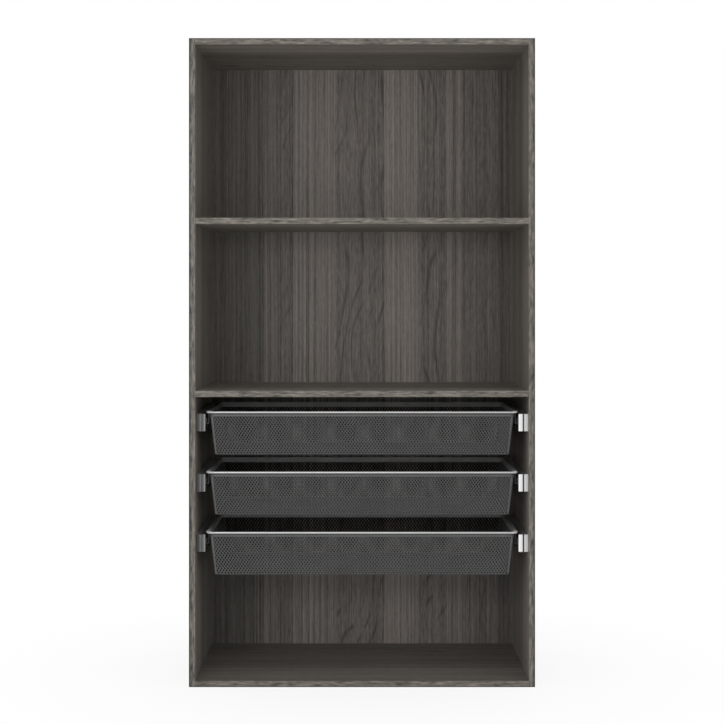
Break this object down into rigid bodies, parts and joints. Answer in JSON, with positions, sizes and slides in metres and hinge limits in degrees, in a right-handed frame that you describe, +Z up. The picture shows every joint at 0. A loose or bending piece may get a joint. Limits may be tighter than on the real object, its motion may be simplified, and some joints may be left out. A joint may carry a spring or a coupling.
{
  "type": "wardrobe frame",
  "caption": "Open wardrobe carcass in dark oak effect with fixed shelves and tapered mesh baskets that slide out on telescopic runners.",
  "frame": {"origin": "middle of the underside, on the floor", "axes": "+X to the right seen from the front, -Y out of the open front, +Z up"},
  "size_m": [1, 0.58, 1.875],
  "materials": {
    "oak_upright": "matt grey oak foil, grain upright",
    "oak_level": "matt grey oak foil, grain along the board",
    "oak_back": "matt grey oak foil, grain upright",
    "oak_edging": "printed oak edging",
    "zinc_fixing": "die-cast zinc",
    "steel_fixing": "zinc-plated steel",
    "beech_dowel": "plain beech",
    "spacer_silver": "satin anodised",
    "rail_steel": "bright zinc-plated steel",
    "cage_steel": "plain steel, greased",
    "cap_grey": "silver-grey moulded plastic",
    "basket_mesh": "anthracite powder coat",
    "basket_rim": "satin grey powder coat, with the front bead left bright",
    "hook_steel": "dark plated steel"
  },
  "bodies": {
    "frame": {"left_side_panel": "oak_upright", "right_side_panel": "oak_upright", "back_panel": "oak_back", "top_panel": "oak_level", "bottom_panel": "oak_level", "upper_shelf": "oak_level", "lower_shelf": "oak_level", "left_side_edging": "oak_edging", "right_side_edging": "oak_edging", "top_panel_edging": "oak_edging", "bottom_panel_edging": "oak_edging", "upper_shelf_edging": "oak_edging", "lower_shelf_edging": "oak_edging", "cam_locks": "zinc_fixing", "cam_bolts": "steel_fixing", "wooden_dowels": "beech_dowel", "runner_screws": "steel_fixing", "spacer_caps": "cap_grey", "top_runner_spacers": "spacer_silver", "top_left_cabinet_rail": "rail_steel", "top_right_cabinet_rail": "rail_steel", "middle_runner_spacers": "spacer_silver", "middle_left_cabinet_rail": "rail_steel", "middle_right_cabinet_rail": "rail_steel", "bottom_runner_spacers": "spacer_silver", "bottom_left_cabinet_rail": "rail_steel", "bottom_right_cabinet_rail": "rail_steel"},
    "top_basket": {"top_basket_mesh": "basket_mesh", "top_basket_rim": "basket_rim", "top_basket_hooks": "hook_steel", "top_slide_caps": "cap_grey", "top_left_inner_rail": "rail_steel", "top_right_inner_rail": "rail_steel"},
    "top_middle_rails": {"top_left_middle_rail": "rail_steel", "top_right_middle_rail": "rail_steel"},
    "top_outer_cages": {"top_outer_ball_cages": "cage_steel"},
    "top_inner_cages": {"top_inner_ball_cages": "cage_steel"},
    "middle_basket": {"middle_basket_mesh": "basket_mesh", "middle_basket_rim": "basket_rim", "middle_basket_hooks": "hook_steel", "middle_slide_caps": "cap_grey", "middle_left_inner_rail": "rail_steel", "middle_right_inner_rail": "rail_steel"},
    "middle_middle_rails": {"middle_left_middle_rail": "rail_steel", "middle_right_middle_rail": "rail_steel"},
    "middle_outer_cages": {"middle_outer_ball_cages": "cage_steel"},
    "middle_inner_cages": {"middle_inner_ball_cages": "cage_steel"},
    "bottom_basket": {"bottom_basket_mesh": "basket_mesh", "bottom_basket_rim": "basket_rim", "bottom_basket_hooks": "hook_steel", "bottom_slide_caps": "cap_grey", "bottom_left_inner_rail": "rail_steel", "bottom_right_inner_rail": "rail_steel"},
    "bottom_middle_rails": {"bottom_left_middle_rail": "rail_steel", "bottom_right_middle_rail": "rail_steel"},
    "bottom_outer_cages": {"bottom_outer_ball_cages": "cage_steel"},
    "bottom_inner_cages": {"bottom_inner_ball_cages": "cage_steel"}
  },
  "joints": [
    {"name": "top_basket_slide", "type": "slide", "parent": "frame", "child": "top_basket", "axis": [0, -1, 0], "range_m": [0, 0.44]},
    {"name": "top_middle_rails_slide", "type": "slide", "parent": "frame", "child": "top_middle_rails", "axis": [0, -1, 0], "range_m": [0, 0.22]},
    {"name": "top_outer_cages_slide", "type": "slide", "parent": "frame", "child": "top_outer_cages", "axis": [0, -1, 0], "range_m": [0, 0.11]},
    {"name": "top_inner_cages_slide", "type": "slide", "parent": "frame", "child": "top_inner_cages", "axis": [0, -1, 0], "range_m": [0, 0.33]},
    {"name": "middle_basket_slide", "type": "slide", "parent": "frame", "child": "middle_basket", "axis": [0, -1, 0], "range_m": [0, 0.44]},
    {"name": "middle_middle_rails_slide", "type": "slide", "parent": "frame", "child": "middle_middle_rails", "axis": [0, -1, 0], "range_m": [0, 0.22]},
    {"name": "middle_outer_cages_slide", "type": "slide", "parent": "frame", "child": "middle_outer_cages", "axis": [0, -1, 0], "range_m": [0, 0.11]},
    {"name": "middle_inner_cages_slide", "type": "slide", "parent": "frame", "child": "middle_inner_cages", "axis": [0, -1, 0], "range_m": [0, 0.33]},
    {"name": "bottom_basket_slide", "type": "slide", "parent": "frame", "child": "bottom_basket", "axis": [0, -1, 0], "range_m": [0, 0.44]},
    {"name": "bottom_middle_rails_slide", "type": "slide", "parent": "frame", "child": "bottom_middle_rails", "axis": [0, -1, 0], "range_m": [0, 0.22]},
    {"name": "bottom_outer_cages_slide", "type": "slide", "parent": "frame", "child": "bottom_outer_cages", "axis": [0, -1, 0], "range_m": [0, 0.11]},
    {"name": "bottom_inner_cages_slide", "type": "slide", "parent": "frame", "child": "bottom_inner_cages", "axis": [0, -1, 0], "range_m": [0, 0.33]}
  ],
  "couplings": [
    {"joint": "top_middle_rails_slide", "follows": "top_basket_slide", "ratio": 0.5},
    {"joint": "top_outer_cages_slide", "follows": "top_basket_slide", "ratio": 0.25},
    {"joint": "top_inner_cages_slide", "follows": "top_basket_slide", "ratio": 0.75},
    {"joint": "middle_middle_rails_slide", "follows": "middle_basket_slide", "ratio": 0.5},
    {"joint": "middle_outer_cages_slide", "follows": "middle_basket_slide", "ratio": 0.25},
    {"joint": "middle_inner_cages_slide", "follows": "middle_basket_slide", "ratio": 0.75},
    {"joint": "bottom_middle_rails_slide", "follows": "bottom_basket_slide", "ratio": 0.5},
    {"joint": "bottom_outer_cages_slide", "follows": "bottom_basket_slide", "ratio": 0.25},
    {"joint": "bottom_inner_cages_slide", "follows": "bottom_basket_slide", "ratio": 0.75}
  ]
}
